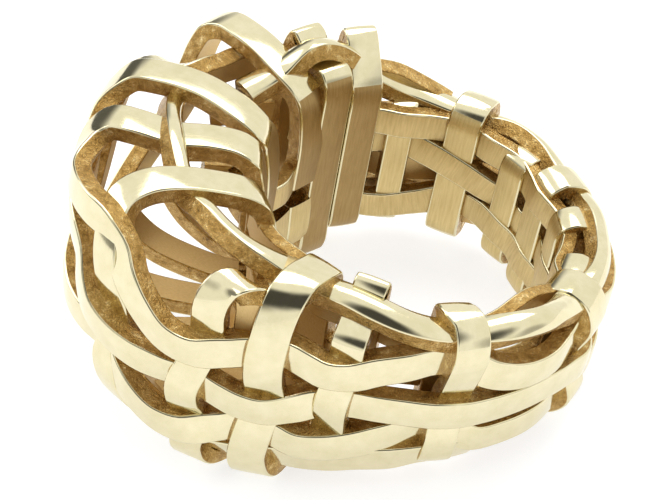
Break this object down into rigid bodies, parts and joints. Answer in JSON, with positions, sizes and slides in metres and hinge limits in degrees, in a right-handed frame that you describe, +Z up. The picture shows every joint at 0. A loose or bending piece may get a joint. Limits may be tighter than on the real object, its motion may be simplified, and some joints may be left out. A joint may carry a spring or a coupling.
{
  "type": "cage ring",
  "caption": "Finger ring woven from flat gold ribbons, an open basket-weave band that swells into a domed cage head, lying on its side.",
  "frame": {"origin": "on the table under the middle of the ring's outline, which touches the table at z = 0", "axes": "+X from the cage head towards the palm side of the band, +Y towards the far side, +Z up; the finger hole leans 7.84 degrees from +Z towards +X"},
  "size_m": [0.0331, 0.0254, 0.0177],
  "materials": {
    "gold": "polished yellow gold ribbons with brushed insides"
  },
  "bodies": {
    "root": {"cage_ring": "gold"}
  },
  "joints": []
}
